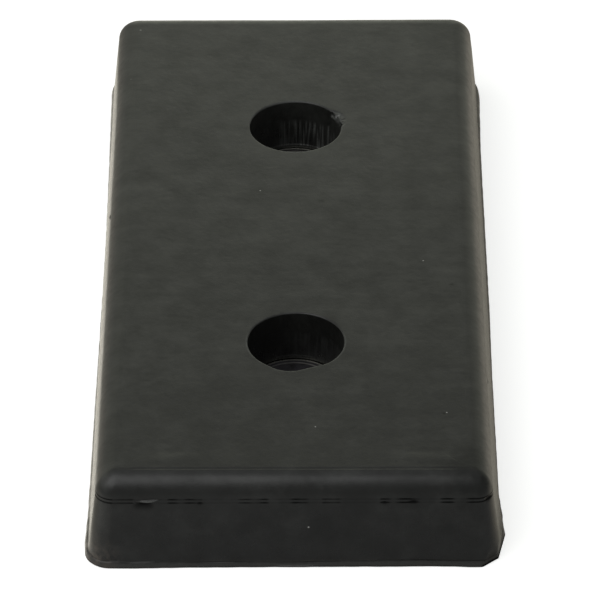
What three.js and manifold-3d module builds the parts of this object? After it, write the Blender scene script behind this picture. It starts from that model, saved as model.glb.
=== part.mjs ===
// A rubber dock bumper: a flat moulded block that is bolted to a dock face or a wall through
// two counterbored holes, with a steel seat washer set in the rubber at the foot of each one.
//
// Millimetres, +Z up. The origin is the centre of the mounting face. The block's length runs
// along Y and its width along X, and the upper face at +Z takes the blows.

import * as THREE from "three";
import { mergeVertices, toCreasedNormals } from "three/addons/utils/BufferGeometryUtils.js";
import Module from "manifold-3d";

// The block
const BASE_WIDTH = 210;
const BASE_LENGTH = 450;
const HEIGHT = 50;
const BASE_CORNER_RADIUS = 12; // in plan, at the mounting face
const PARTING_HEIGHT = 38; // where the two mould halves meet
const PARTING_INSET = 5.5; // how far the drafted wall has leaned in by then
const PARTING_CORNER_RADIUS = 9; // in plan, at the parting line
const TOP_CORNER_RADIUS = 2; // in plan, where the rounded edge runs out into the upper face
const TOP_EDGE_RADIUS = HEIGHT - PARTING_HEIGHT;

// The foot rim, left where the block was trimmed, and the flash bead on the parting line
const RIM_HEIGHT = 3.5;
const RIM_STEP = 0.5; // how far the rim stands out from the wall above it
const RIM_EDGE = 0.6; // the chamfer under the rim
const RIM_LEAN = 0.3; // how far the rim leans in over its height
const BEAD_HEIGHT = 1.6;
const BEAD_PROUD = 0.3;

// The bolt holes
const BOLT_SPACING = 200;
const COUNTERBORE_RADIUS = 25;
const MOUTH_CHAMFER = 0.8;
const BOLT_HOLE_RADIUS = 11; // through the rubber below the washer

// The seat washers: the large size for a 16 mm bolt, as wide as the counterbore
const WASHER_OUTER_RADIUS = 25;
const WASHER_INNER_RADIUS = 8.5;
const WASHER_THICKNESS = 3;
const WASHER_TOP = 20.5; // the height of the seat above the mounting face
const WASHER_ROUNDING = 1; // the punched edge rolls over by this much
const WASHER_CHAMFER = 0.3;
const FIT_GAP = 0.3; // between the washer and the rubber that holds it

// How finely round shapes are faceted
const CORNER_STEPS = 5; // a plan corner has twice as many facets
const EDGE_STEPS = 8; // facets across the rounded upper edge
const ROUND_STEPS = 48; // facets round a bore or a washer
const ROLL_STEPS = 3; // facets across a washer's rolled edge
const CREASE_ANGLE = THREE.MathUtils.degToRad(25);
const MERGE_DISTANCE = 1e-4;
const OVERSHOOT = 1; // how far a cutter runs past the face that it opens

const wasm = await Module();
wasm.setup();

// A manifold-3d solid from a closed three.js geometry.
function toSolid(geometry) {
  const surface = geometry.clone();
  surface.deleteAttribute("normal");
  surface.deleteAttribute("uv");
  const merged = mergeVertices(surface, MERGE_DISTANCE);
  return new wasm.Manifold(
    new wasm.Mesh({
      numProp: 3,
      vertProperties: merged.getAttribute("position").array,
      triVerts: Uint32Array.from(merged.index.array),
    }),
  );
}

// A three.js geometry from a manifold-3d solid.
function toGeometry(solid) {
  const mesh = solid.getMesh();
  const geometry = new THREE.BufferGeometry();
  geometry.setAttribute("position", new THREE.BufferAttribute(mesh.vertProperties, 3));
  geometry.setIndex(new THREE.BufferAttribute(mesh.triVerts, 1));
  return geometry;
}

// A rounded rectangle, anticlockwise from above. It has the same number of points at any size.
function roundedRectangle(halfWidth, halfLength, radius) {
  const quarter = Math.PI / 2;
  const centreX = halfWidth - radius;
  const centreY = halfLength - radius;
  const shape = new THREE.Shape();
  shape.absarc(centreX, -centreY, radius, -quarter, 0);
  shape.absarc(centreX, centreY, radius, 0, quarter);
  shape.absarc(-centreX, centreY, radius, quarter, 2 * quarter);
  shape.absarc(-centreX, -centreY, radius, 2 * quarter, 3 * quarter);
  return shape.getPoints(CORNER_STEPS);
}

// A closed skin through level sections of the block, from the lowest to the highest. Each
// section gives its height, its inset from the base outline and its plan corner radius.
function loftBlock(sections) {
  const rings = sections.map(({ z, inset, radius }) =>
    roundedRectangle(BASE_WIDTH / 2 - inset, BASE_LENGTH / 2 - inset, radius).map(
      (point) => new THREE.Vector3(point.x, point.y, z),
    ),
  );
  const count = rings[0].length;
  const triangles = [];
  for (let level = 0; level + 1 < rings.length; level++) {
    const start = level * count;
    for (let i = 0; i < count; i++) {
      const here = start + i;
      const next = start + ((i + 1) % count);
      triangles.push(here, next, next + count);
      triangles.push(here, next + count, here + count);
    }
  }
  const lastStart = (rings.length - 1) * count;
  for (const [a, b, c] of THREE.ShapeUtils.triangulateShape(rings[0], [])) {
    triangles.push(a, c, b);
  }
  for (const [a, b, c] of THREE.ShapeUtils.triangulateShape(rings.at(-1), [])) {
    triangles.push(lastStart + a, lastStart + b, lastStart + c);
  }
  const skin = new THREE.BufferGeometry().setFromPoints(rings.flat());
  skin.setIndex(triangles);
  return skin;
}

// The block without its holes: foot rim, drafted wall, flash bead, rounded upper edge.
function blockSkin() {
  const cornerAt = (z) =>
    THREE.MathUtils.mapLinear(z, 0, PARTING_HEIGHT, BASE_CORNER_RADIUS, PARTING_CORNER_RADIUS);
  const insetAt = (z) => THREE.MathUtils.mapLinear(z, 0, PARTING_HEIGHT, RIM_STEP, PARTING_INSET);
  const wall = (z, proud) => ({ z, inset: insetAt(z) - proud, radius: cornerAt(z) + proud });

  const beadBottom = PARTING_HEIGHT - BEAD_HEIGHT / 2;
  const beadTop = PARTING_HEIGHT + BEAD_HEIGHT / 2;
  const sections = [
    { z: 0, inset: RIM_EDGE, radius: BASE_CORNER_RADIUS },
    { z: RIM_EDGE, inset: 0, radius: BASE_CORNER_RADIUS },
    { z: RIM_HEIGHT, inset: RIM_LEAN, radius: BASE_CORNER_RADIUS },
    wall(RIM_HEIGHT + RIM_STEP, 0),
    wall(beadBottom - BEAD_PROUD, 0),
    wall(beadBottom, BEAD_PROUD),
    wall(beadTop, BEAD_PROUD),
  ];
  // The rounded edge starts just above the bead, and its plan corner tightens as it rises.
  const firstAngle = Math.asin((beadTop + BEAD_PROUD - PARTING_HEIGHT) / TOP_EDGE_RADIUS);
  for (let i = 0; i <= EDGE_STEPS; i++) {
    const angle = THREE.MathUtils.lerp(firstAngle, Math.PI / 2, i / EDGE_STEPS);
    const across = 1 - Math.cos(angle);
    sections.push({
      z: PARTING_HEIGHT + TOP_EDGE_RADIUS * Math.sin(angle),
      inset: PARTING_INSET + TOP_EDGE_RADIUS * across,
      radius: THREE.MathUtils.lerp(PARTING_CORNER_RADIUS, TOP_CORNER_RADIUS, across),
    });
  }
  return loftBlock(sections);
}

// A solid of revolution about +Z. The outline is a list of [radius, height].
function turned(outline) {
  const profile = outline.map(([radius, height]) => new THREE.Vector2(radius, height));
  return new THREE.LatheGeometry(profile, ROUND_STEPS).rotateX(Math.PI / 2);
}

// What one bolt hole takes out of the block: the counterbore with the parting bead round its
// wall, the recess round the washer's rim, and the bolt's own hole below.
function boltHoleCutter() {
  const recessRadius = WASHER_OUTER_RADIUS + FIT_GAP;
  const recessFloor = WASHER_TOP - WASHER_THICKNESS - FIT_GAP;
  const recessTop = WASHER_TOP + FIT_GAP;
  const beadRadius = COUNTERBORE_RADIUS - BEAD_PROUD;
  const beadHalf = BEAD_HEIGHT / 2;
  const top = HEIGHT + OVERSHOOT;
  return turned([
    [0, -OVERSHOOT],
    [BOLT_HOLE_RADIUS, -OVERSHOOT],
    [BOLT_HOLE_RADIUS, recessFloor],
    [recessRadius, recessFloor],
    [recessRadius, recessTop],
    [COUNTERBORE_RADIUS, recessTop],
    [COUNTERBORE_RADIUS, PARTING_HEIGHT - beadHalf - BEAD_PROUD],
    [beadRadius, PARTING_HEIGHT - beadHalf],
    [beadRadius, PARTING_HEIGHT + beadHalf],
    [COUNTERBORE_RADIUS, PARTING_HEIGHT + beadHalf + BEAD_PROUD],
    [COUNTERBORE_RADIUS, HEIGHT - MOUTH_CHAMFER],
    [COUNTERBORE_RADIUS + MOUTH_CHAMFER + OVERSHOOT, top],
    [0, top],
  ]);
}

// The moulding, cut through by a bolt hole at each place.
function rubberBodyGeometry(holePlaces) {
  let body = toSolid(blockSkin());
  for (const place of holePlaces) {
    const cutter = boltHoleCutter().translate(place.x, place.y, place.z);
    body = body.subtract(toSolid(cutter));
  }
  return toGeometry(body);
}

// A seat washer, from its underside at height 0 up. Its upper outer edge is rolled.
function seatWasherGeometry() {
  const outline = [
    [WASHER_INNER_RADIUS, WASHER_CHAMFER],
    [WASHER_INNER_RADIUS + WASHER_CHAMFER, 0],
    [WASHER_OUTER_RADIUS - WASHER_CHAMFER, 0],
    [WASHER_OUTER_RADIUS, WASHER_CHAMFER],
  ];
  for (let i = 0; i <= ROLL_STEPS; i++) {
    const angle = ((Math.PI / 2) * i) / ROLL_STEPS;
    outline.push([
      WASHER_OUTER_RADIUS - WASHER_ROUNDING * (1 - Math.cos(angle)),
      WASHER_THICKNESS - WASHER_ROUNDING * (1 - Math.sin(angle)),
    ]);
  }
  outline.push([WASHER_INNER_RADIUS + WASHER_CHAMFER, WASHER_THICKNESS]);
  outline.push([WASHER_INNER_RADIUS, WASHER_THICKNESS - WASHER_CHAMFER]);
  outline.push(outline[0]);
  return turned(outline);
}

function namedMesh(name, geometry, material) {
  const mesh = new THREE.Mesh(toCreasedNormals(geometry, CREASE_ANGLE), material);
  mesh.name = name;
  return mesh;
}

const rubber = new THREE.MeshStandardMaterial({ color: 0x3c3d38, roughness: 0.6, metalness: 0 });
const frontSteel = new THREE.MeshStandardMaterial({
  color: 0x8d8b88,
  roughness: 0.4,
  metalness: 0.9,
});
const rearSteel = frontSteel.clone();

const holePlaces = {
  front: new THREE.Vector3(0, -BOLT_SPACING / 2, 0),
  rear: new THREE.Vector3(0, BOLT_SPACING / 2, 0),
};

const bumper = new THREE.Group();
bumper.add(namedMesh("rubber_body", rubberBodyGeometry(Object.values(holePlaces)), rubber));

const washers = new THREE.Group();
washers.position.z = WASHER_TOP - WASHER_THICKNESS;
for (const [name, place, steel] of [
  ["seat_washer_front", holePlaces.front, frontSteel],
  ["seat_washer_rear", holePlaces.rear, rearSteel],
]) {
  const washer = namedMesh(name, seatWasherGeometry(), steel);
  washer.position.copy(place);
  washers.add(washer);
}
bumper.add(washers);

export default bumper;
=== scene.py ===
"""Looks for a rubber dock bumper: the moulded block and its two seat washers, in a pale studio.

Lengths are metres in the frame's own axes: X across the block, Y along it, Z up from the face
that is bolted to the wall. Each piece is a closed mesh built from rings of points.
"""

import math

import bpy
import numpy as np
from mathutils import Matrix, Vector, noise
from mathutils.geometry import delaunay_2d_cdt


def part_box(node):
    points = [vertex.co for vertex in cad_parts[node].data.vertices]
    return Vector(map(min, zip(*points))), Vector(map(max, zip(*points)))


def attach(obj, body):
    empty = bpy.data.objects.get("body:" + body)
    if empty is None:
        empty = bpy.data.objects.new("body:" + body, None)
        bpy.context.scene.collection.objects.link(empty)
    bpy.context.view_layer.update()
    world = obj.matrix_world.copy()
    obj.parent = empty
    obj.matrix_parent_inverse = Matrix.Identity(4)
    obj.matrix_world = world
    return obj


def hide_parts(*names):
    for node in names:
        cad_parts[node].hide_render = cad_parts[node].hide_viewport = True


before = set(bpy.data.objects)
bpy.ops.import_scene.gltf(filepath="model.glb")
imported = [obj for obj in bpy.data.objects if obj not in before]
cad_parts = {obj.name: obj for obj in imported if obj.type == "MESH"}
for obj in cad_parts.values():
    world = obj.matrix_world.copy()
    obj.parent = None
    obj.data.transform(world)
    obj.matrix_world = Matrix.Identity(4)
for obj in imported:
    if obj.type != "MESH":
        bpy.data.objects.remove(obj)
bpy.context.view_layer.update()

MM = 0.001
_, BLOCK_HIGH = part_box("rubber_body")
HALF_WIDTH = BLOCK_HIGH.x
HALF_LENGTH = BLOCK_HIGH.y
TOP = BLOCK_HIGH.z

# Where the wall and the rounded upper edge run
PARTING_HEIGHT = 38 * MM  # the two mould halves met here
PARTING_INSET = 5.5 * MM  # how far the drafted wall has leaned in by then
BASE_CORNER = 12 * MM  # plan corner radii
PARTING_CORNER = 9 * MM
TOP_CORNER = 2 * MM
EDGE_RADIUS = TOP - PARTING_HEIGHT
FLAT_INSET = PARTING_INSET + EDGE_RADIUS  # where the rounded edge meets the flat top

# The trimmed rim round the foot
RIM_STEP = 0.5 * MM  # how far it stands out from the wall above it
RIM_TOP = 3.1 * MM
STEP_TOP = RIM_TOP + 1 * MM  # the step back to the wall ends here
TRIM_WANDER = 0.12 * MM  # how finely the knife's cut wandered in and out
RIM_WAVE = 0.45 * MM  # how far the rim's upper edge wanders up and down
# The flash on the right, near the front, is darkened as painted shade along the base edge
FLASH_EDGE = 0.3 * MM  # the thickness of the flash left on the right, near the front
SKIRT = 0.45 * MM  # how far that flash stands out
FIN_TOP = 9 * MM  # where the fin on the right side has died away

# The two thin grooves of the parting line
SEAM_HALF = 1.0 * MM  # each lies this far from the middle of the line
SEAM_REACH = 2.2 * MM  # the finely divided band on each side of the line
GROOVE_DEPTH = 0.2 * MM
GROOVE_HALF = 0.45 * MM
TAB_HALF = 0.6 * MM  # half the height of a torn tab of flash

# The block spreads a little towards its far end
SPREAD = 0.8 * MM
SPREAD_START = 130 * MM
SPREAD_END = 200 * MM

# The faint crease near the end of the rounded edge, and the low swellings just inside it
CREASE_INSET = FLAT_INSET - 1.0 * MM
CREASE_DEPTH = 0.2 * MM
CREASE_HALF = 0.9 * MM
SWELLING_MIDDLE = FLAT_INSET + 7.5 * MM
SWELLING_HALF = 6.0 * MM
SWELLING_RISE = 0.12 * MM
OUTER_END = FLAT_INSET + 14.0 * MM  # where the outer skin hands over to the flat top

# The bolt holes
MOUTH_RADIUS = 25 * MM
MOUTH_ROUNDING = 0.8 * MM
SCORED_TOP = PARTING_HEIGHT + 1.2 * MM  # scoring and the seat line lie below this
SEAT_GAP = 0.3 * MM
BOLT_HOLE_RADIUS = 11 * MM
WASHER_BORE_RADIUS = 8.5 * MM

# The rings of the top face and of the base round a hole, as millimetres outside it
TOP_RINGS = (6, 5, 4.2, 3.5, 2.9, 2.3, 1.8, 1.3)
BASE_RINGS = (0.5, 0.9, 2.0, 3.5)
BASE_CLEARANCE = 4 * MM  # between a bolt hole and the filling points of the base

# How finely the skins are divided
OUTLINE_SPACING = 1.1 * MM
CORNER_STEPS = 24
BORE_STEPS = 360
TOP_SPACING = 5 * MM
BASE_SPACING = 12 * MM
BASE_MARGIN = 6 * MM
WASHER_STEPS = 240


# ---------------------------------------------------------------- small tools


def bump(value, centre, half):
    """1 at the centre, falling smoothly to 0 at centre -half and +half."""
    t = np.clip(np.abs(np.asarray(value, float) - centre) / half, 0, 1)
    return (1 - t * t) ** 2


def ramp(value, low, high):
    """0 below low, 1 above high, smooth between."""
    t = np.clip((np.asarray(value, float) - low) / (high - low), 0, 1)
    return t * t * (3 - 2 * t)


def along(place, stops):
    """An offset in metres at each place, read between (place, offset) stops in millimetres."""
    at, offset = zip(*stops)
    return np.interp(np.asarray(place) / MM, at, offset) * MM


def turn_from(angles, centre):
    """The angles measured from a centre angle, from -180 to 180 degrees."""
    return (angles - centre + 180) % 360 - 180


def noise_at(points, wavelength, seed=0.0):
    """Smooth noise from about -1 to 1 at each point, with features of the given wavelength."""
    shift = Vector((seed * 17.3, seed * -9.1, seed * 5.7))
    return np.array([noise.noise(Vector(p) / wavelength + shift) for p in points]) * 1.6


class Skin:
    """The points, faces, and wear and painted light of one mesh.

    Wear and painted light run from -1, painted shade deep in a narrow groove, through 0,
    untouched, to 1, torn open. Values below 0 are painted shade, and some pale values are
    painted highlights.
    """

    def __init__(self):
        self.points = np.zeros((0, 3))
        self.wear_and_painted_light = np.zeros(0)
        self.faces = []

    def add(self, points, wear_and_painted_light=0.0):
        """Adds points and gives back their numbers."""
        start = len(self.points)
        self.points = np.vstack([self.points, points])
        self.wear_and_painted_light = np.concatenate([self.wear_and_painted_light, np.broadcast_to(wear_and_painted_light, len(points))])
        return np.arange(start, start + len(points))

    def bridge(self, rings):
        """Joins each ring to the next with quads. The outside is on the right of the way round."""
        for a, b in zip(rings, rings[1:]):
            quads = np.stack([a, np.roll(a, -1), np.roll(b, -1), b], 1)
            self.faces += quads.tolist()

    def cap(self, outer, holes, filling, upward):
        """Fills a flat region between an outer loop and round holes, through the filling points."""
        numbers = np.concatenate([outer, *holes, filling])
        edges = []
        hole_of = {}
        start = 0
        for which, loop in enumerate([outer, *holes]):
            count = len(loop)
            edges += [(start + i, start + (i + 1) % count) for i in range(count)]
            if which:
                hole_of.update({int(n): which for n in loop})
            start += count
        flat = [Vector(self.points[n][:2]) for n in numbers]
        _, _, triangles, sources, _, _ = delaunay_2d_cdt(flat, edges, [], 1, 1e-7)
        for triangle in triangles:
            face = [int(numbers[sources[i][0]]) for i in triangle]
            sides = {hole_of.get(n) for n in face}
            if len(sides) == 1 and None not in sides:
                continue  # it lies across a hole
            a, b, c = (self.points[n] for n in face)
            turns_left = np.cross(b - a, c - a)[2] > 0
            self.faces.append(face if turns_left == upward else face[::-1])

    def mesh(self, name):
        """A smooth-shaded mesh that carries the wear and painted light as an attribute."""
        made = bpy.data.meshes.new(name)
        made.from_pydata(self.points.tolist(), [], self.faces)
        made.polygons.foreach_set("use_smooth", [True] * len(made.polygons))
        layer = made.attributes.new("wear_and_painted_light", "FLOAT", "POINT")
        layer.data.foreach_set("value", self.wear_and_painted_light.astype(np.float32))
        made.update()
        return made


def piece(name, mesh, material, node):
    """Puts a mesh in the scene in place of a CAD node."""
    mesh.materials.append(material)
    made = bpy.data.objects.new(name, mesh)
    bpy.context.scene.collection.objects.link(made)
    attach(made, "root")
    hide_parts(node)
    return made


# ---------------------------------------------------------------- the rubber block: outer skin


def outline(inset, radius):
    """Points round a rounded rectangle, anticlockwise from above, and the way each one faces."""
    centre_x = HALF_WIDTH - inset - radius
    centre_y = HALF_LENGTH - inset - radius
    long_steps = round(2 * (HALF_LENGTH - BASE_CORNER) / OUTLINE_SPACING)
    short_steps = round(2 * (HALF_WIDTH - BASE_CORNER) / OUTLINE_SPACING)
    arcs = []
    for side_x, side_y, start in ((1, -1, -90), (1, 1, 0), (-1, 1, 90), (-1, -1, 180)):
        angles = np.radians(start + np.linspace(0, 90, CORNER_STEPS + 1))
        facing = np.stack([np.cos(angles), np.sin(angles)], 1)
        arcs.append((np.array([side_x * centre_x, side_y * centre_y]) + radius * facing, facing))
    points, facings = [], []
    for i, (arc, facing) in enumerate(arcs):
        steps = long_steps if i % 2 == 0 else short_steps
        share = np.linspace(0, 1, steps + 1)[1:-1, None]
        start, end = arc[-1], arcs[(i + 1) % 4][0][0]
        points += [arc, start + (end - start) * share]
        facings += [facing, np.tile(facing[-1], (steps - 1, 1))]
    return np.vstack(points), np.vstack(facings)


def wall_inset(z):
    """How far the drafted wall has leaned in at a height."""
    return RIM_STEP + (PARTING_INSET - RIM_STEP) * z / PARTING_HEIGHT


def wall_corner(z):
    """The plan corner radius of the wall at a height."""
    return BASE_CORNER + (PARTING_CORNER - BASE_CORNER) * z / PARTING_HEIGHT


# The foot rim leans in as it rises, and steps back to the wall: (height, inset) in millimetres
FOOT = (
    (0.0, 2.4),
    (0.0, 0.9),
    (0.0, 0.4),
    (0.15, 0.15),
    (0.4, 0.0),
    (0.6, 0.0),
    (0.8, 0.15),
    (1.2, 0.22),
    (1.7, 0.36),
    (2.2, 0.5),
    (2.6, 0.62),
    (2.9, 0.78),
    (3.1, 1.05),
    (3.3, 1.25),
    (3.55, 1.25),
    (3.8, 1.05),
)


def outer_levels():
    """(height, inset, plan corner radius) of each ring of the outer skin, from the base up."""
    levels = [(z * MM, inset * MM, BASE_CORNER) for z, inset in FOOT]
    band = PARTING_HEIGHT - SEAM_REACH
    plain_wall = np.linspace(4.5 * MM, band - 1.2 * MM, 22)
    for z in [*plain_wall, *np.linspace(band, PARTING_HEIGHT, 15)]:
        levels.append((z, wall_inset(z), wall_corner(z)))
    first = math.asin(SEAM_REACH / EDGE_RADIUS)
    near = np.linspace(0, first, 15)[1:]
    for angle in [*near, *np.linspace(first, math.pi / 2, 38)[1:]]:
        across = 1 - math.cos(angle)
        corner = PARTING_CORNER + (TOP_CORNER - PARTING_CORNER) * across
        height = PARTING_HEIGHT + EDGE_RADIUS * math.sin(angle)
        levels.append((height, PARTING_INSET + EDGE_RADIUS * across, corner))
    for inset in np.linspace(FLAT_INSET, OUTER_END, 24)[1:]:
        further = (inset - FLAT_INSET) / (OUTER_END - FLAT_INSET)
        levels.append((TOP, inset, TOP_CORNER * (1 - 0.8 * further)))
    return levels


# How far the knife left the foot rim outside or inside the true outline, in millimetres:
# (place along that side, offset). Measured off the photo and rounded; the back is made up.
LEFT_TRIM = (
    (-222, 0.4),
    (-205, 1.1),
    (-185, 0.4),
    (-155, 0.2),
    (-100, 0.0),
    (-30, -0.5),
    (50, -0.9),
    (110, -0.6),
    (170, 0.0),
    (205, 0.4),
)
RIGHT_TRIM = (
    (-60, -0.4),
    (0, 0.1),
    (150, 0.1),
    (205, 1.1),
    (222, 0.3),
)
FRONT_TRIM = (
    (-90, 0.8),
    (-72, 0.8),
    (-58, 0.4),
    (-20, 0.1),
    (50, -0.2),
    (72, -0.3),
    (88, 0.4),
)
BACK_TRIM = ((-90, 0.5), (-30, -0.3), (40, 0.2), (85, 0.7))
FIN = ((-216, 0.0), (-199, 1.9), (-168, 0.0))  # a fin of flash left on the right side

# The right front corner was cut twice with a knife: (direction in degrees, distance from the
# centre of the corner's arc at the base, how far the cut leans out as it rises)
CORNER_CUTS = ((-12, 10.1 * MM, 0.03), (-49, 9.7 * MM, 0.04))
CUTS_REACH = 30 * MM  # the cuts end this far from that centre

# Where the grooves of the parting line are sharp on the front: (from, to) in millimetres
SHARP_SEAM = (
    (-92, -80),
    (-63, -46),
    (-28, -13),
    (-8, 7),
    (14, 23),
    (43, 48),
    (50, 63),
    (73, 80),
    (86, 97),
)

# Torn tabs of flash left on the parting line: (x, y, half length, how far out, height above it)
FLASH_TABS = (
    (-0.0725, -0.219, 6.0 * MM, 1.5 * MM, 0.3 * MM),
    (-0.099, 0.031, 3.0 * MM, 0.7 * MM, 0.0),
    (0.030, 0.219, 4.0 * MM, 1.2 * MM, 0.2 * MM),
    (0.099, -0.120, 3.0 * MM, 0.5 * MM, 0.0),
)

# Where rubber was torn out near the parting line, each pit darkened as painted shade, each place
# given by (x, y, half length, middle height, half height, depth)
TORN_PITS = (
    (-0.0750, -0.219, 6.5 * MM, PARTING_HEIGHT - 2.3 * MM, 2.0 * MM, 1.3 * MM),
    (0.0965, -0.216, 3.0 * MM, PARTING_HEIGHT - 0.6 * MM, 2.0 * MM, 0.8 * MM),
    (0.0450, -0.219, 2.0 * MM, PARTING_HEIGHT - 1.1 * MM, 1.5 * MM, 0.3 * MM),
    (0.0595, -0.219, 2.8 * MM, PARTING_HEIGHT - 0.5 * MM, 1.7 * MM, 0.35 * MM),
    (-0.0470, -0.219, 2.0 * MM, PARTING_HEIGHT - 1.2 * MM, 1.2 * MM, 0.3 * MM),
)


def on_each_side(ring, facing, left, right, front, back):
    """The trim offsets round the base, blended round the corners."""
    share = facing**2
    across = np.where(facing[:, 0] < 0, along(ring[:, 1], left), along(ring[:, 1], right))
    lengthwise = np.where(facing[:, 1] < 0, along(ring[:, 0], front), along(ring[:, 0], back))
    return share[:, 0] * across + share[:, 1] * lengthwise


def seam_strength(ring, facing):
    """How deep the parting grooves are, and how much painted shade lies in them, at each point,
    from almost nothing to all the way.
    """
    flat = np.column_stack([ring, np.zeros(len(ring))])
    broad = noise_at(flat, 34 * MM, 1)
    fine = noise_at(flat, 5 * MM, 2)
    strength = np.clip(0.25 + 0.5 * broad + 0.3 * fine, 0.05, 0.8)
    sharp = np.zeros(len(ring))
    for start, end in SHARP_SEAM:
        middle, half = (start + end) / 2 * MM, (end - start) / 2 * MM
        sharp = np.maximum(sharp, 1 - ramp(abs(ring[:, 0] - middle), half - 1 * MM, half + 1 * MM))
    sharp *= 0.75 + 0.6 * fine
    on_front = facing[:, 1] < -0.999
    at_corner = (facing[:, 1] < -0.05) & ~on_front
    strength = np.where(at_corner, 1.1 + 0.2 * fine, strength)
    return np.where(on_front, np.maximum(0.15, sharp), strength)


def cut_corner(place, z, slack):
    """Holds the points of a ring back to the straight cuts across the right front corner.

    Slack lets the points past the cuts by that much. Gives back the points and how far each
    one has been moved.
    """
    centre = np.array([HALF_WIDTH - BASE_CORNER, BASE_CORNER - HALF_LENGTH])
    moved = np.zeros(len(place))
    for degrees, distance, lean in CORNER_CUTS:
        angle = math.radians(degrees)
        outward = np.array([math.cos(angle), math.sin(angle)])
        beyond = (place - centre) @ outward - distance - lean * z - slack
        close = np.linalg.norm(place - centre, axis=1) < CUTS_REACH
        step = np.clip(beyond, 0, None) * close
        place = place - step[:, None] * outward
        moved += step
    return place, moved


class WayRound:
    """What varies on the way round the block, point for point along any ring of the skin."""

    def __init__(self):
        base, facing = outline(0, BASE_CORNER)
        flat = np.column_stack([base, np.zeros(len(base))])
        on_front = facing[:, 1] < -0.99

        trim = on_each_side(base, facing, LEFT_TRIM, RIGHT_TRIM, FRONT_TRIM, BACK_TRIM)
        self.trim = trim + TRIM_WANDER * noise_at(flat, 7 * MM, 3)
        self.rim_wave = RIM_WAVE * noise_at(flat, 13 * MM, 5)
        # How deep the step back to the wall is, and how much painted shade lies in it
        self.step_depth_and_shade = np.clip(0.35 + 0.6 * noise_at(flat, 22 * MM, 7) + 2 * base[:, 0], 0, 1)

        fin = np.where(facing[:, 0] > 0.9, along(base[:, 1], FIN), 0)
        self.fin = fin * (1 + 0.12 * noise_at(flat, 4 * MM, 4))
        # Flash on the right near the front, darkened as painted shade
        shaded_flash = (facing[:, 0] > 0.5) * ramp(-base[:, 1], 164 * MM, 174 * MM)
        self.shaded_flash = shaded_flash * (0.95 + 0.25 * noise_at(flat, 6 * MM, 12))

        self.seam = seam_strength(*outline(PARTING_INSET, PARTING_CORNER))

        crease = 0.2 + 0.1 * noise_at(flat, 45 * MM, 6)
        self.crease = crease + 0.75 * on_front * ramp(-abs(base[:, 0]), -91 * MM, -84 * MM)
        swelling = np.clip(0.6 * noise_at(flat, 30 * MM, 11), 0, 1)
        across = base[on_front, 0]
        swelling[on_front] = bump(across, -72 * MM, 26 * MM) + bump(across, 78 * MM, 22 * MM)
        self.swelling = swelling


def foot_rim(way, z):
    """How far the trimmed rim and its flash push a ring out, and change its wear and painted shade.
    """
    out = way.fin * ramp(FIN_TOP - z, 0, 8 * MM)
    # Painted shade: the flash is darkened along the base edge
    wear_and_painted_light = -way.shaded_flash * ramp(1.4 * MM - z, 0, 0.7 * MM)
    if z < STEP_TOP:
        deeper = bump(z, RIM_TOP + 0.35 * MM, 0.5 * MM)
        out += way.trim * ramp(STEP_TOP - z, 0, 1 * MM)
        out += 0.25 * MM * (1 - way.step_depth_and_shade) * deeper
        wear_and_painted_light += 0.2 * ramp(z, 0.6 * MM, 1.2 * MM) * ramp(RIM_TOP - z, 0, 0.6 * MM)
        # Painted shade: darker at the very foot, where the block meets the floor, and in the step
        # back to the wall
        wear_and_painted_light -= 0.6 * ramp(0.7 * MM - z, 0, 0.3 * MM)
        wear_and_painted_light -= 0.8 * way.step_depth_and_shade * deeper
    return out, wear_and_painted_light


def parting_line(way, ring, z):
    """How far the parting line's grooves and torn tabs push a ring out, and change its wear and
    painted shade.
    """
    above = z - PARTING_HEIGHT
    out = -way.seam * GROOVE_DEPTH * bump(abs(above), SEAM_HALF, GROOVE_HALF)
    # Painted shade: the grooves are darkened over a band a little wider than they are cut
    wear_and_painted_light = -way.seam * bump(abs(above), SEAM_HALF, 1.7 * GROOVE_HALF)
    for x, y, half, proud, middle in FLASH_TABS:
        near = bump(np.hypot(ring[:, 0] - x, ring[:, 1] - y), 0, half)
        tilt = 0.5 * MM * (ring[:, 0] - x) / half
        tab = near**0.7 * bump(above - tilt, middle, TAB_HALF)
        out += proud * tab
        wear_and_painted_light += 0.6 * tab
    return out, wear_and_painted_light


def torn_pits(ring, z):
    """How far the pits near the parting line push a ring out, and their painted shade."""
    out = np.zeros(len(ring))
    wear_and_painted_light = np.zeros(len(ring))
    for x, y, half, middle, half_height, depth in TORN_PITS:
        near = bump(np.hypot(ring[:, 0] - x, ring[:, 1] - y), 0, half)
        pit = near**0.6 * bump(z, middle, half_height)
        out -= depth * pit
        # Painted shade: darker in the pits
        wear_and_painted_light -= pit
    return out, wear_and_painted_light


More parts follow.
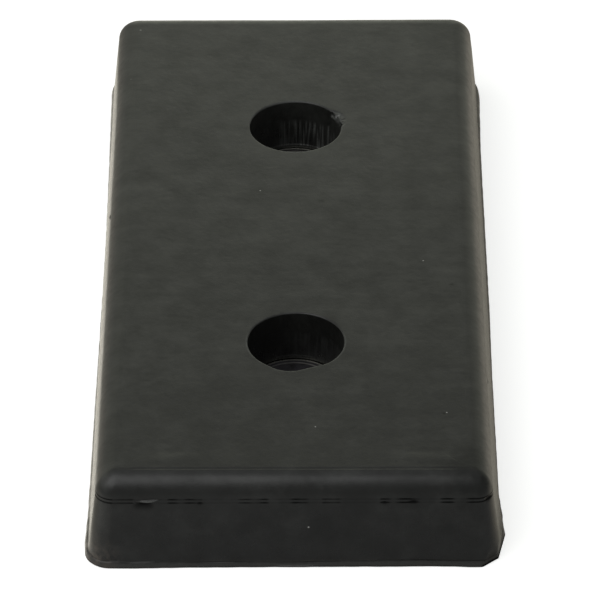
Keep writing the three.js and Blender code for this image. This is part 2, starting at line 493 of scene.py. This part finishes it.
def outer_rings(skin):
    """The rings of the outer skin, from the base to just inside the swellings of the top face."""
    way = WayRound()
    rings = []
    for z, inset, radius in outer_levels():
        ring, facing = outline(inset, radius)
        out, wear_and_painted_light = foot_rim(way, z)
        height = np.full(len(ring), z)
        if 1.5 * MM < z < RIM_TOP + 0.7 * MM:
            height += way.rim_wave
        if abs(z - PARTING_HEIGHT) < SEAM_REACH + 0.1 * MM:
            seam_out, seam_wear_and_shade = parting_line(way, ring, z)
            out += seam_out
            wear_and_painted_light += seam_wear_and_shade
        pit_out, pit_shade = torn_pits(ring, z)
        out += pit_out
        wear_and_painted_light += pit_shade
        if inset < FLAT_INSET:
            out += SPREAD * ramp(ring[:, 1], SPREAD_START, SPREAD_END) * ramp(z, 0, PARTING_HEIGHT)
        if z > TOP - 1 * MM:
            height -= way.crease * CREASE_DEPTH * bump(inset, CREASE_INSET, CREASE_HALF)
            swollen = bump(inset, SWELLING_MIDDLE, SWELLING_HALF)
            height += way.swelling * SWELLING_RISE * swollen
        skirt = SKIRT if z < FLASH_EDGE else 0.0
        out += skirt * way.shaded_flash
        place, moved = cut_corner(ring + facing * out[:, None], z, skirt)
        # Painted shade: the knife-cut facets of the right front corner are darkened
        wear_and_painted_light -= 0.45 * ramp(moved, 0.1 * MM, 0.6 * MM)
        rings.append(skin.add(np.column_stack([place, height]), np.clip(wear_and_painted_light, -1, 1)))
    skin.bridge(rings)
    return rings


# ---------------------------------------------------------------- the rubber block: bolt holes


def bore_levels(seat_top, thickness, washer_radius):
    """(radius, height) of each ring of a bolt hole, from the top face down to the base."""
    levels = [(MOUTH_RADIUS + share * MM, TOP) for share in TOP_RINGS]
    for angle in np.linspace(0, math.pi / 2, 6):
        across = MOUTH_ROUNDING * (1 - math.sin(angle))
        levels.append((MOUTH_RADIUS + across, TOP - MOUTH_ROUNDING * (1 - math.cos(angle))))
    for z in np.linspace(TOP - 1.4 * MM, PARTING_HEIGHT + 1.4 * MM, 11):
        levels.append((MOUTH_RADIUS, z))
    for z in np.linspace(PARTING_HEIGHT + 1.1 * MM, seat_top + 0.5 * MM, 48):
        levels.append((MOUTH_RADIUS - 0.05 * MM, z))
    recess = washer_radius + SEAT_GAP
    recess_floor = seat_top - thickness - SEAT_GAP
    levels += [
        (MOUTH_RADIUS, seat_top + 0.2 * MM),
        (MOUTH_RADIUS + 0.08 * MM, seat_top - 0.5 * MM),
        (recess, seat_top - 0.7 * MM),
        (recess, recess_floor),
        (recess - 0.5 * MM, recess_floor),
        (BOLT_HOLE_RADIUS + 0.5 * MM, recess_floor),
        (BOLT_HOLE_RADIUS, recess_floor - 0.3 * MM),
    ]
    for z in np.linspace(recess_floor - 1.5 * MM, 1.0 * MM, 6):
        levels.append((BOLT_HOLE_RADIUS, z))
    levels.append((BOLT_HOLE_RADIUS + 0.1 * MM, 0.4 * MM))
    levels += [(BOLT_HOLE_RADIUS + share * MM, 0.0) for share in BASE_RINGS]
    return levels


class Bore:
    """What sets one bolt hole apart. Angles are in degrees, anticlockwise from +X."""

    def __init__(self, node, lean, dents=(), scoring=0.0, seat_highlight=0.3, nick=None, seed=0):
        self.node = node
        self.lean = np.array(lean)  # how far the mouth has moved from true, in plan
        self.dents = dents  # (angle, half width, depth) where the rim is out of round
        self.scoring = scoring  # how strongly the lower wall is scored
        # A painted highlight: a pale line on the far wall just above the washer, widening the
        # washer rim's bright crescent
        self.seat_highlight = seat_highlight  # how pale the line round the wall is, just above the washer
        self.nick = nick  # (angle, half width, reach) of the torn rim
        self.seed = seed  # of its noise


BORES = (
    Bore(
        "seat_washer_front",
        lean=(0.9 * MM, -0.2 * MM),
        dents=((256, 24, 1.2 * MM), (292, 22, -1.2 * MM)),
        scoring=0.15,
        seed=20,
    ),
    Bore(
        "seat_washer_rear",
        lean=(0.5 * MM, 1.8 * MM),
        scoring=1.0,
        seat_highlight=0.8,
        nick=(19, 20, 4.2 * MM),
        seed=30,
    ),
)


def scored_wall(bore, on_rim, degrees, z, seat_top):
    """How far scoring and a raised line move the lower wall of a bore out, and its wear and painted
    light.
    """
    # The scoring is kept to the far right of the hole, where the light reaches in: real scoring,
    # paler there as painted light
    scored_and_lit_side = bump(turn_from(degrees, 60), 0, 58) ** 0.5
    witness = bump(turn_from(degrees, 42), 0, 2.2) * bore.scoring
    drawn = on_rim + np.array([0, 0, z * 0.06])
    scored = noise_at(drawn, 0.9 * MM, bore.seed + 3)
    broad = noise_at(drawn, 4 * MM, bore.seed + 4)
    patchy = noise_at(on_rim + np.array([0, 0, z]), 7 * MM, bore.seed + 6)
    fade = ramp(z, seat_top, seat_top + 3 * MM) * bore.scoring * scored_and_lit_side
    fade *= ramp(SCORED_TOP - z, 0, 3.5 * MM)
    out = fade * (0.12 * MM * scored + 0.1 * MM * broad) - 0.2 * MM * witness
    wear_and_painted_light = fade * np.clip(0.2 + 0.7 * scored + 0.2 * broad + 0.15 * patchy, 0, 0.7)
    wear_and_painted_light += 0.45 * witness
    # Painted highlight: a pale line on the far wall just above the washer
    far_side = bump(turn_from(degrees, 85), 0, 60)
    wear_and_painted_light += bore.seat_highlight * far_side * bump(z, seat_top + 2.2 * MM, 0.6 * MM)
    return out, wear_and_painted_light


def torn_nick(bore, on_rim, facing, degrees, radius, z):
    """How much of each point of a ring a nick covers, and its depth and wear there."""
    middle, half, reach = bore.nick
    ragged = 1 + 0.35 * noise_at(on_rim, 3 * MM, bore.seed + 5)
    torn = bump(turn_from(degrees, middle), 0, half) ** 0.5 * ragged
    beyond = radius - MOUTH_RADIUS
    covered = 1 - ramp(beyond, reach * 0.65 * torn, reach * torn + 0.1 * MM)
    covered *= ramp(z, TOP - 5 * MM, TOP - 1.5 * MM) * (torn > 0.1)
    places = np.column_stack([facing * radius, np.full(BORE_STEPS, z)])
    shredded = noise_at(places, 1.6 * MM, bore.seed + 7)
    depth = covered * MM * (0.9 + 0.5 * shredded) * (1 - np.clip(beyond / reach, 0, 1))
    paler = bump(turn_from(degrees, middle + 8), 0, 12)
    return covered, depth, covered * (0.15 + 0.55 * paler + 0.6 * shredded)


def bore_rings(skin, bore, centre, washer_radius, seat_top, thickness):
    """The rings of one bolt hole, from the margin on the top face down to the base."""
    angles = np.linspace(0, 2 * math.pi, BORE_STEPS, endpoint=False)
    degrees = np.degrees(angles)
    facing = np.stack([np.cos(angles), np.sin(angles)], 1)
    on_rim = np.column_stack([facing * MOUTH_RADIUS, np.zeros(BORE_STEPS)])
    uneven = 0.15 * MM * noise_at(on_rim, 26 * MM, bore.seed + 2)
    for angle, half, depth in bore.dents:
        uneven += depth * bump(turn_from(degrees, angle), 0, half)
    rubbed_rim = np.clip(0.15 + 0.35 * noise_at(on_rim, 14 * MM, bore.seed + 8), 0, 0.5)
    rings = []
    for radius, z in bore_levels(seat_top, thickness, washer_radius):
        out = uneven * ramp(z, PARTING_HEIGHT - 4 * MM, TOP)
        height = np.full(BORE_STEPS, z)
        at_rim = abs(radius - MOUTH_RADIUS - 0.5 * MM) < 0.6 * MM and z > TOP - 0.7 * MM
        wear_and_painted_light = rubbed_rim * at_rim
        if seat_top + 0.5 * MM < z < SCORED_TOP:
            wall_out, wall_wear_and_light = scored_wall(bore, on_rim, degrees, z, seat_top)
            out += wall_out
            wear_and_painted_light += wall_wear_and_light
        if bore.nick and z > TOP - 6 * MM:
            covered, depth, torn_wear = torn_nick(bore, on_rim, facing, degrees, radius, z)
            height -= depth
            out += 0.8 * MM * covered * (radius - MOUTH_RADIUS < 0.5 * MM)
            wear_and_painted_light = np.where(covered > 0.3, torn_wear, wear_and_painted_light)
        lean = bore.lean * np.clip((z - seat_top) / (TOP - seat_top), 0, 1)
        place = np.asarray(centre) + lean + facing * (radius + out)[:, None]
        rings.append(skin.add(np.column_stack([place, height]), np.clip(wear_and_painted_light, -1, 1)))
    skin.bridge(rings)
    return rings


# ---------------------------------------------------------------- the rubber block: whole


def filling_points(spacing, half_width, half_length, holes, hole_radius):
    """A slightly jittered grid inside a rectangle, kept off the holes."""
    chance = np.random.default_rng(7)
    xs = np.linspace(-half_width, half_width, round(2 * half_width / spacing) + 1)
    ys = np.linspace(-half_length, half_length, round(2 * half_length / spacing) + 1)
    grid = np.stack(np.meshgrid(xs, ys), -1).reshape(-1, 2)
    grid += chance.uniform(-0.2, 0.2, grid.shape) * spacing
    keep = np.ones(len(grid), bool)
    for centre in holes:
        keep &= np.hypot(*(grid - np.asarray(centre)).T) > hole_radius + 0.5 * spacing
    return grid[keep]


def soften(mesh):
    """Gives the moulded faces the slight unevenness of real rubber, and leaves the base flat."""
    count = len(mesh.vertices)
    places = np.zeros(count * 3)
    normals = np.zeros(count * 3)
    mesh.vertices.foreach_get("co", places)
    mesh.vertex_normals.foreach_get("vector", normals)
    places = places.reshape(-1, 3)
    normals = normals.reshape(-1, 3)
    waves = 0.10 * MM * noise_at(places, 80 * MM, 8) + 0.035 * MM * noise_at(places, 14 * MM, 9)
    waves *= ramp(places[:, 2], 0.5 * MM, 5 * MM)
    places += normals * waves[:, None]
    mesh.vertices.foreach_set("co", places.ravel())
    mesh.update()


def seat(node):
    """(centre in plan, radius, top, thickness) of a washer, from its CAD box."""
    low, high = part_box(node)
    middle = (low + high) / 2
    return (middle.x, middle.y), (high.x - low.x) / 2, high.z, high.z - low.z


def build_rubber_body(material):
    """The whole moulding: outer skin, both bolt holes, top face and base, as one closed mesh."""
    skin = Skin()
    outer = outer_rings(skin)
    holes = []
    centres = []
    for bore in BORES:
        centre, radius, top, thickness = seat(bore.node)
        centres.append(centre)
        holes.append(bore_rings(skin, bore, centre, radius, top, thickness))

    inner = OUTER_END + 2 * MM
    clear = MOUTH_RADIUS + TOP_RINGS[0] * MM
    top_grid = filling_points(TOP_SPACING, HALF_WIDTH - inner, HALF_LENGTH - inner, centres, clear)
    top_filling = skin.add(np.column_stack([top_grid, np.full(len(top_grid), TOP)]))
    skin.cap(outer[-1], [rings[0] for rings in holes], top_filling, upward=True)

    half_width, half_length = HALF_WIDTH - BASE_MARGIN, HALF_LENGTH - BASE_MARGIN
    clear = BOLT_HOLE_RADIUS + BASE_CLEARANCE
    base_grid = filling_points(BASE_SPACING, half_width, half_length, centres, clear)
    base_filling = skin.add(np.column_stack([base_grid, np.zeros(len(base_grid))]))
    skin.cap(outer[0], [rings[-1] for rings in holes], base_filling, upward=False)

    mesh = skin.mesh("rubber_body_fine")
    soften(mesh)
    return piece("rubber_block", mesh, material, "rubber_body")


# ---------------------------------------------------------------- the seat washers


def washer_outline(inner, outer, thick):
    """(radius, height, wear and painted light) round a washer's section, from the lower edge of its
    bore.
    """
    roll = 1.0 * MM  # the radius of its punched edge
    section = [
        (inner, 0.1 * thick, 0),
        (inner + 0.3 * MM, 0, 0),
        (outer - 0.4 * MM, 0, 0),
        (outer - 0.05 * MM, 0.25 * MM, 0),
        (outer, 0.35 * thick, 0.4),
    ]
    for angle in np.linspace(0, math.pi / 2, 9):
        across = outer - roll * (1 - math.cos(angle))
        section.append((across, thick - roll * (1 - math.sin(angle)), 1))
    mark = outer - 3.7 * MM  # a ring pressed into the face
    for radius in np.linspace(outer - roll, mark + 0.7 * MM, 6)[1:]:
        section.append((radius, thick, float(ramp(radius, outer - 2 * MM, outer - roll))))
    section += [
        (mark + 0.35 * MM, thick - 0.05 * MM, 0.2),
        (mark, thick - 0.15 * MM, 0.4),
        (mark - 0.35 * MM, thick - 0.12 * MM, 0.2),
    ]
    for radius in np.linspace(mark - 0.8 * MM, inner + 0.5 * MM, 9):
        section.append((radius, thick - 0.1 * MM, 0))
    section += [(inner + 0.15 * MM, thick - 0.25 * MM, 0.5), (inner, thick - 0.6 * MM, 0)]
    section.append((inner, 0.5 * thick, 0))
    return section


def build_washer(name, node, material, seed):
    """A punched steel washer: a rolled upper edge and a ring pressed into its face."""
    centre, outer, top, thick = seat(node)
    angles = np.linspace(0, 2 * math.pi, WASHER_STEPS, endpoint=False)
    facing = np.stack([np.cos(angles), np.sin(angles)], 1)
    ring_places = np.column_stack([facing * outer, np.zeros(WASHER_STEPS)])
    ragged = 0.08 * MM * np.clip(noise_at(ring_places, 5 * MM, seed), -1, 0)
    patchy = np.clip(0.75 + 0.5 * noise_at(ring_places, 14 * MM, seed + 1), 0, 1)
    # Painted highlight: the bright rim is kept mostly to the far side, where the light reaches
    patchy *= 0.15 + 0.85 * bump(turn_from(np.degrees(angles), 70), 0, 75)
    skin = Skin()
    rings = []
    for radius, up, wear_and_painted_light in washer_outline(WASHER_BORE_RADIUS, outer, thick):
        out = ragged * float(ramp(radius, outer - 1.5 * MM, outer - 0.5 * MM))
        place = np.asarray(centre) + facing * (radius + out)[:, None]
        height = np.full(WASHER_STEPS, top - thick + up)
        rings.append(skin.add(np.column_stack([place, height]), wear_and_painted_light * patchy))
    skin.bridge([*rings, rings[0]])
    return piece(name, skin.mesh(name + "_fine"), material, node)


# ---------------------------------------------------------------- materials


class Nodes:
    """Builds a node tree with short calls."""

    def __init__(self, owner, output_kind):
        owner.use_nodes = True
        self.owner = owner
        self.tree = owner.node_tree
        self.tree.nodes.clear()
        self.output = self.tree.nodes.new(output_kind)
        self.coordinates = self.tree.nodes.new("ShaderNodeTexCoord").outputs
        self.place = self.coordinates["Object"]

    def link(self, source, target):
        self.tree.links.new(source, target)

    def node(self, kind, inputs=None, **settings):
        made = self.tree.nodes.new(kind)
        for key, value in settings.items():
            setattr(made, key, value)
        for key, value in (inputs or {}).items():
            if isinstance(value, bpy.types.NodeSocket):
                self.link(value, made.inputs[key])
            else:
                made.inputs[key].default_value = value
        return made

    def stretched(self, x, y, z):
        """The object's own frame, with each axis scaled."""
        mapping = self.node("ShaderNodeMapping", {"Vector": self.place, "Scale": (x, y, z)})
        return mapping.outputs["Vector"]

    def noise(self, size, detail=3.0, roughness=0.55, vector=None):
        """Noise whose features measure about size metres."""
        inputs = {
            "Vector": vector or self.place,
            "Scale": 1 / size,
            "Detail": detail,
            "Roughness": roughness,
        }
        return self.node("ShaderNodeTexNoise", inputs).outputs["Fac"]

    def remap(self, value, low, high, to_low=0.0, to_high=1.0):
        """A value from low to high moved to the range to_low to to_high, and held inside it."""
        inputs = {
            "Value": value,
            "From Min": low,
            "From Max": high,
            "To Min": to_low,
            "To Max": to_high,
        }
        return self.node("ShaderNodeMapRange", inputs, clamp=True).outputs["Result"]

    def math(self, operation, a, b=0.0):
        return self.node("ShaderNodeMath", {0: a, 1: b}, operation=operation).outputs[0]

    def mix(self, factor, a, b):
        """A mix of two colours."""
        made = self.node("ShaderNodeMix", data_type="RGBA")
        for socket, value in ((0, factor), (6, a), (7, b)):
            if isinstance(value, bpy.types.NodeSocket):
                self.link(value, made.inputs[socket])
            else:
                made.inputs[socket].default_value = value
        return made.outputs[2]

    def bump(self, height, distance, under=None):
        """A normal for a height map that is distance metres deep, on top of the normal under it."""
        inputs = {"Height": height, "Distance": distance, "Strength": 1.0}
        if under is not None:
            inputs["Normal"] = under
        return self.node("ShaderNodeBump", inputs).outputs["Normal"]

    def parts(self, vector):
        """The x, y and z of a vector."""
        return self.node("ShaderNodeSeparateXYZ", {"Vector": vector}).outputs

    def near(self, point, radius):
        """1 at a point in the object's own frame, falling to 0 at a radius."""
        inputs = {0: self.place, 1: point}
        away = self.node("ShaderNodeVectorMath", inputs, operation="DISTANCE").outputs["Value"]
        return self.remap(away, 0, radius, 1, 0)

    def finish(self, shader):
        self.link(shader, self.output.inputs["Surface"])
        return self.owner


def material_nodes(name):
    return Nodes(bpy.data.materials.new(name), "ShaderNodeOutputMaterial")


# Colours of the rubber
RUBBER_DARK = (0.0080, 0.0082, 0.0074, 1)
RUBBER_LIGHT = (0.0175, 0.0179, 0.0162, 1)
# Rubbed rubber, also the colour of painted highlights in the bolt holes
RUBBED_AND_HIGHLIGHT = (0.085, 0.088, 0.084, 1)
TORN_FIBRES = (0.19, 0.19, 0.19, 1)
GRIME = (0.075, 0.060, 0.050, 1)
GRIT = (0.34, 0.34, 0.32, 1)
# Painted shade in grooves and pits, and the colour of the small dark marks
SHADE_AND_SMUDGE_BLACK = (0.002, 0.002, 0.002, 1)

# Pale grains stuck in the rubber, placed where the photo has them: (x, y, z, radius)
GRAINS = (
    (-0.0918, 0.1509, 0.0500, 1.0 * MM),
    (-0.0645, -0.2120, 0.0475, 0.8 * MM),
    (0.0071, -0.2215, 0.0229, 0.7 * MM),
    (-0.0185, 0.0388, 0.0500, 0.6 * MM),
    (0.0682, -0.0278, 0.0500, 0.6 * MM),
    (0.0773, -0.1622, 0.0500, 0.6 * MM),
    (0.0107, -0.1738, 0.0500, 0.6 * MM),
    (-0.0875, 0.2015, 0.0490, 1.6 * MM),
)

# Small dark marks on the upper face, in the same way
SMUDGES = (
    (0.0145, 0.0282, 0.0500, 2.2 * MM),
    (0.0825, -0.0499, 0.0500, 2.0 * MM),
    (0.0760, -0.1630, 0.0500, 1.5 * MM),
)

# Corners that have lost some of their gloss: (x, y, z, radius, share of the gloss kept)
DULL_CORNERS = (
    (0.095, 0.218, 0.048, 40 * MM, 0.65),
    (0.088, -0.206, 0.048, 22 * MM, 0.72),
)


def rubber_material():
    """Black moulded rubber: satin, finely mottled, faintly streaked, paler where rubbed or torn. It
    also carries painted shade in grooves and pits, painted highlights in the bolt holes and painted
    light across the block.
    """
    n = material_nodes("black_rubber")
    cloud = n.noise(90 * MM, 4.0)
    mottle = n.noise(3.5 * MM, 4.0, 0.65)
    grain = n.noise(0.7 * MM, 2.0)
    streak = n.noise(1.0, 5.0, 0.6, n.stretched(9, 130, 60))
    patch = n.noise(15 * MM, 3.0, 0.6)

    # Painted light: the tone is lighter towards the left and far end, where more light falls, and a
    # little darker towards the right front
    tone = n.math("ADD", n.remap(cloud, 0.3, 0.7, -0.2, 0.4), n.remap(mottle, 0.3, 0.7, -0.05, 0.4))
    tone = n.math("ADD", tone, n.remap(streak, 0.36, 0.68, -0.15, 0.5))
    tone = n.math("ADD", tone, n.remap(patch, 0.35, 0.65, -0.3, 0.3))
    lit_left_and_far = n.math("SUBTRACT", n.parts(n.place)["Y"], n.parts(n.place)["X"])
    tone = n.math("ADD", tone, n.remap(lit_left_and_far, -0.25, 0.25, -0.6, 0.45))
    colour = n.mix(tone, RUBBER_DARK, RUBBER_LIGHT)

    # Rubbed and torn places, and the painted highlights that share their attribute
    wear_and_light_value = n.node("ShaderNodeAttribute", attribute_name="wear_and_painted_light").outputs["Fac"]
    rubbed_and_highlight = n.math("MULTIPLY", n.remap(wear_and_light_value, 0, 0.7), n.remap(grain, 0.3, 0.6, 0.4, 1))
    colour = n.mix(rubbed_and_highlight, colour, RUBBED_AND_HIGHLIGHT)
    fibres = n.math("MULTIPLY", n.remap(wear_and_light_value, 0.72, 0.9), n.remap(grain, 0.35, 0.5, 0.5, 1))
    colour = n.mix(fibres, colour, TORN_FIBRES)

    # Grime at the foot and on the left front corner, and grit
    height = n.parts(n.place)["Z"]
    low_down = n.remap(height, 0.5 * MM, 5 * MM, 0.12, 0)
    scuffed_corner = n.math("MULTIPLY", n.near((-0.102, -0.219, 0.002), 18 * MM), 0.9)
    grime = n.math("ADD", low_down, scuffed_corner)
    grime = n.math("MULTIPLY", grime, n.remap(mottle, 0.42, 0.62, 0.1, 1))
    colour = n.mix(grime, colour, GRIME)

    for x, y, z, radius in GRAINS:
        grit = n.remap(n.near((x, y, z), radius), 0.2, 0.6)
        colour = n.mix(grit, colour, GRIT)

    # Painted shade (the attribute below 0: grooves, pits, cut facets, the foot) and the dark marks
    # take away colour and gloss alike
    shade_and_marks = n.remap(wear_and_light_value, -1, 0, 0.2, 1)
    for x, y, z, radius in SMUDGES:
        mark = n.math("MULTIPLY", n.near((x, y, z), radius), n.remap(mottle, 0.35, 0.6))
        shade_and_marks = n.math("SUBTRACT", shade_and_marks, n.math("MULTIPLY", mark, 0.7))
    colour = n.mix(shade_and_marks, SHADE_AND_SMUDGE_BLACK, colour)
    gloss = n.math("MULTIPLY", shade_and_marks, n.remap(patch, 0.3, 0.7, 0.43, 0.57))
    # Painted shade: less gloss towards the right front
    gloss = n.math("MULTIPLY", gloss, n.remap(lit_left_and_far, -0.26, 0.08, 0.84, 1))
    for x, y, z, radius, kept in DULL_CORNERS:
        dulled = n.remap(n.near((x, y, z), radius), 0, 0.6, 1, kept)
        gloss = n.math("MULTIPLY", gloss, dulled)

    rough = n.remap(height, 30 * MM, 42 * MM, 0.30, 0.35)
    rough = n.math("ADD", rough, n.remap(wear_and_light_value, 0, 1, 0, 0.3))
    rough = n.math("ADD", rough, n.remap(mottle, 0.3, 0.7, -0.06, 0.06))
    lumps = n.bump(n.noise(9 * MM, 3.0), 0.08 * MM)
    pitted = n.bump(mottle, 0.08 * MM, under=lumps)
    grained = n.bump(grain, 0.018 * MM, under=pitted)
    inputs = {
        "Base Color": colour,
        "Roughness": rough,
        "Specular IOR Level": gloss,
        "Normal": grained,
    }
    return n.finish(n.node("ShaderNodeBsdfPrincipled", inputs).outputs[0])


def steel_material(name, shift):
    """Bare punched steel: very dark on the face, bright on the rim. The rim is brightest on the far
    side, where that is a painted highlight.
    """
    n = material_nodes(name)
    place = n.node("ShaderNodeMapping", {"Vector": n.place, "Location": (shift, 0, 0)})
    stain = n.noise(6 * MM, 4.0, 0.6, place.outputs["Vector"])
    fine = n.noise(0.8 * MM, 3.0, 0.6, place.outputs["Vector"])
    rim = n.node("ShaderNodeAttribute", attribute_name="wear_and_painted_light").outputs["Fac"]
    dull = n.mix(n.remap(stain, 0.35, 0.65), (0.085, 0.08, 0.09, 1), (0.035, 0.033, 0.034, 1))
    colour = n.mix(rim, dull, (0.66, 0.65, 0.58, 1))
    rough = n.remap(stain, 0.3, 0.7, 0.42, 0.6)
    rough = n.math("SUBTRACT", rough, n.math("MULTIPLY", rim, 0.12))
    inputs = {
        "Base Color": colour,
        "Metallic": 0.85,
        "Roughness": rough,
        "Normal": n.bump(fine, 0.03 * MM),
    }
    return n.finish(n.node("ShaderNodeBsdfPrincipled", inputs).outputs[0])


def floor_material():
    """Two floors in one. The camera sees a plain pale floor that gives off a little light. Every
    other ray meets a warmer bench, grey in front of the block and self-lit along its long sides.
    It was tuned against the photo, so that the walls mirror what they do there.
    """
    n = material_nodes("pale_floor")
    speckle = n.noise(60 * MM, 3.0)
    pale = n.mix(speckle, (0.86, 0.86, 0.85, 1), (0.89, 0.89, 0.88, 1))

    # The bench: grey in front, pale on the left of the near end, warm along both long sides. The
    # grey in front and close to the left near corner is painted shade, and the cream close to the
    # left side is painted light
    x, y, _ = n.parts(n.place)
    beside = n.math("MULTIPLY", n.remap(x, -0.098, -0.145), n.remap(y, -0.42, -0.24))
    behind = n.remap(y, -0.232, -0.20)
    bench = n.mix(beside, (0.62, 0.62, 0.62, 1), (0.88, 0.88, 0.86, 1))
    left = n.mix(n.remap(x, -0.145, -0.110), (0.52, 0.49, 0.43, 1), (0.90, 0.85, 0.74, 1))
    cream = n.mix(n.remap(x, -0.05, 0.05), left, (0.70, 0.64, 0.53, 1))
    bench = n.mix(behind, bench, cream)

    # Light off the bench: strong close to the left side, weaker further out on the right
    glow = n.math("MULTIPLY", n.remap(x, -0.122, -0.106), n.remap(x, 0.05, -0.05, 0, 0.9))
    glow = n.math("ADD", glow, n.remap(x, 0.13, 0.20, 0.15, 0.45))
    glow = n.math("MULTIPLY", glow, n.math("MAXIMUM", behind, beside))

    # The camera itself sees the pale floor, softly lit
    seen = n.node("ShaderNodeLightPath").outputs["Is Camera Ray"]
    surface = n.node("ShaderNodeBsdfDiffuse", {"Color": n.mix(seen, bench, pale)}).outputs[0]
    unseen = n.remap(seen, 0, 1, 1, 0)
    strength = n.math("ADD", n.math("MULTIPLY", unseen, glow), n.math("MULTIPLY", seen, 0.6))
    inputs = {"Color": n.mix(seen, (1.0, 0.95, 0.84, 1), (1, 1, 1, 1)), "Strength": strength}
    lit = n.node("ShaderNodeEmission", inputs).outputs[0]
    both = n.node("ShaderNodeAddShader", {0: surface, 1: lit})
    return n.finish(both.outputs[0])


# ---------------------------------------------------------------- studio and camera


def build_floor():
    """A flat sheet just under the block."""
    reach = 12.0
    mesh = bpy.data.meshes.new("floor")
    corners = [(-reach, -reach, 0), (reach, -reach, 0), (reach, reach, 0), (-reach, reach, 0)]
    mesh.from_pydata(corners, [], [(0, 1, 2, 3)])
    mesh.materials.append(floor_material())
    floor = bpy.data.objects.new("floor", mesh)
    floor.location.z = -0.2 * MM
    bpy.context.scene.collection.objects.link(floor)


def build_world():
    """A dim dome, brighter overhead and behind the camera, with a broad pale wall beyond the
    block, up to about 34 degrees, and a screen low on the left. It was tuned against the photo.
    """
    n = Nodes(bpy.data.worlds.new("studio"), "ShaderNodeOutputWorld")
    x, y, z = n.parts(n.coordinates["Generated"])
    wall = n.math("MULTIPLY", n.remap(y, 0.3, 0.7), n.remap(z, 0.49, 0.565, 1, 0))

    # The wall's left end is in shade low down, and its right end is in half shade.
    lit = n.math("MAXIMUM", n.remap(x, -0.3, -0.08, 0.3, 1), n.remap(z, 0.35, 0.5, 0.3, 1))
    wall = n.math("MULTIPLY", wall, lit)
    wall = n.math("MULTIPLY", wall, n.remap(x, 0.08, 0.28, 1, 0.45))

    overhead = n.math("MAXIMUM", n.remap(z, 0.65, 0.77), n.remap(y, 0.1, -0.3, 0, 0.4))
    screen = n.math("MULTIPLY", n.remap(x, -0.55, -0.75), n.remap(z, 0.05, 0.25))
    dome = n.mix(overhead, (0.17, 0.17, 0.165, 1), (0.57, 0.585, 0.58, 1))
    dome = n.mix(screen, dome, (0.76, 0.77, 0.74, 1))
    colour = n.mix(wall, dome, (1.06, 1.10, 0.915, 1))
    light = n.node("ShaderNodeBackground", {"Color": colour, "Strength": 1.0})
    bpy.context.scene.world = n.finish(light.outputs[0])


def add_area_light(name, place, aim, size, power):
    """A square lamp. The size is its side in metres, and the power is in watts."""
    data = bpy.data.lights.new(name, "AREA")
    data.shape = "SQUARE"
    data.size = size
    data.energy = power
    lamp = bpy.data.objects.new(name, data)
    lamp.location = place
    lamp.rotation_euler = (Vector(aim) - Vector(place)).to_track_quat("-Z", "Y").to_euler()
    bpy.context.scene.collection.objects.link(lamp)


def build_camera():
    """A long lens about 35 degrees above the floor, square on to the short end.

    The numbers come from fitting the block's outline and holes to the photo, taking its pixels
    to be square.
    """
    elevation = math.radians(35.506)
    azimuth = math.radians(0.182)
    roll = math.radians(-0.262)
    distance = 2.6048
    back = Vector(
        (
            math.sin(azimuth) * math.cos(elevation),
            -math.cos(azimuth) * math.cos(elevation),
            math.sin(elevation),
        )
    )
    data = bpy.data.cameras.new("camera")
    data.lens = 294.2
    data.sensor_width = 36.0
    data.shift_x = 0.0004
    data.shift_y = 0.0208
    camera = bpy.data.objects.new("camera", data)
    camera.location = back * distance
    look = (-camera.location).to_track_quat("-Z", "Y").to_matrix().to_4x4()
    camera.rotation_euler = (look @ Matrix.Rotation(roll, 4, "Z")).to_euler()
    bpy.context.scene.collection.objects.link(camera)
    bpy.context.scene.camera = camera


build_rubber_body(rubber_material())
build_washer("washer_front", "seat_washer_front", steel_material("washer_steel_front", 0.0), 3)
build_washer("washer_rear", "seat_washer_rear", steel_material("washer_steel_rear", 1.7), 5)

build_floor()
build_world()
add_area_light("key", (-0.33, -0.40, 0.72), (0, 0, 0), 0.75, 2.2)
build_camera()
bpy.context.scene.view_settings.view_transform = "Standard"
